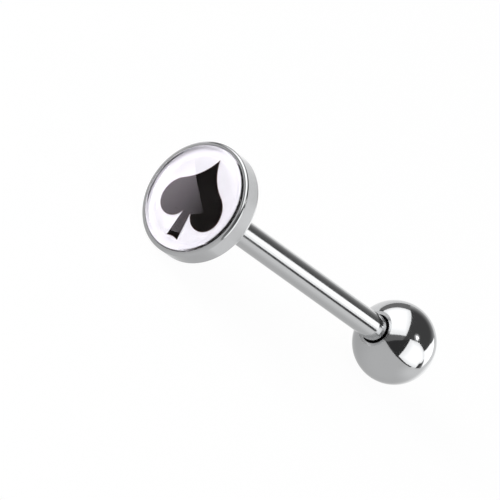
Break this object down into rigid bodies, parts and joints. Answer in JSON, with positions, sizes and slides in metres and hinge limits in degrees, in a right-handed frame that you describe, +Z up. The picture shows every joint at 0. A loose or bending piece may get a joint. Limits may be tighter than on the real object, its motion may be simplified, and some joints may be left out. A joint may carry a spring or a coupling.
{
  "type": "tongue barbell",
  "caption": "Straight polished steel tongue barbell with a screw-on ball and a round picture disc under a clear resin dome, lying on its side.",
  "frame": {"origin": "on the surface that the barbell lies on, below the middle of its bounding box", "axes": "+Z up; +X along the barbell's length, from the ball to the picture disc; the axis of the stem rises 2.65 degrees towards the disc, because the disc's radius is greater than the ball's"},
  "size_m": [0.0256, 0.007, 0.007],
  "materials": {
    "steel": "mirror-polished surgical stainless steel",
    "ground": "white printed ground under resin",
    "spade": "black ink under resin",
    "resin": "clear domed epoxy resin"
  },
  "bodies": {
    "bar": {"stem": "steel", "disc_cup": "steel", "white_ground": "ground", "spade": "spade", "resin_dome": "resin"},
    "ball": {"ball": "steel"}
  },
  "joints": [
    {"name": "ball_unscrew", "type": "slide", "parent": "bar", "child": "ball", "axis": [-0.9989, 0, -0.0462], "range_m": [0, 0.01]}
  ]
}
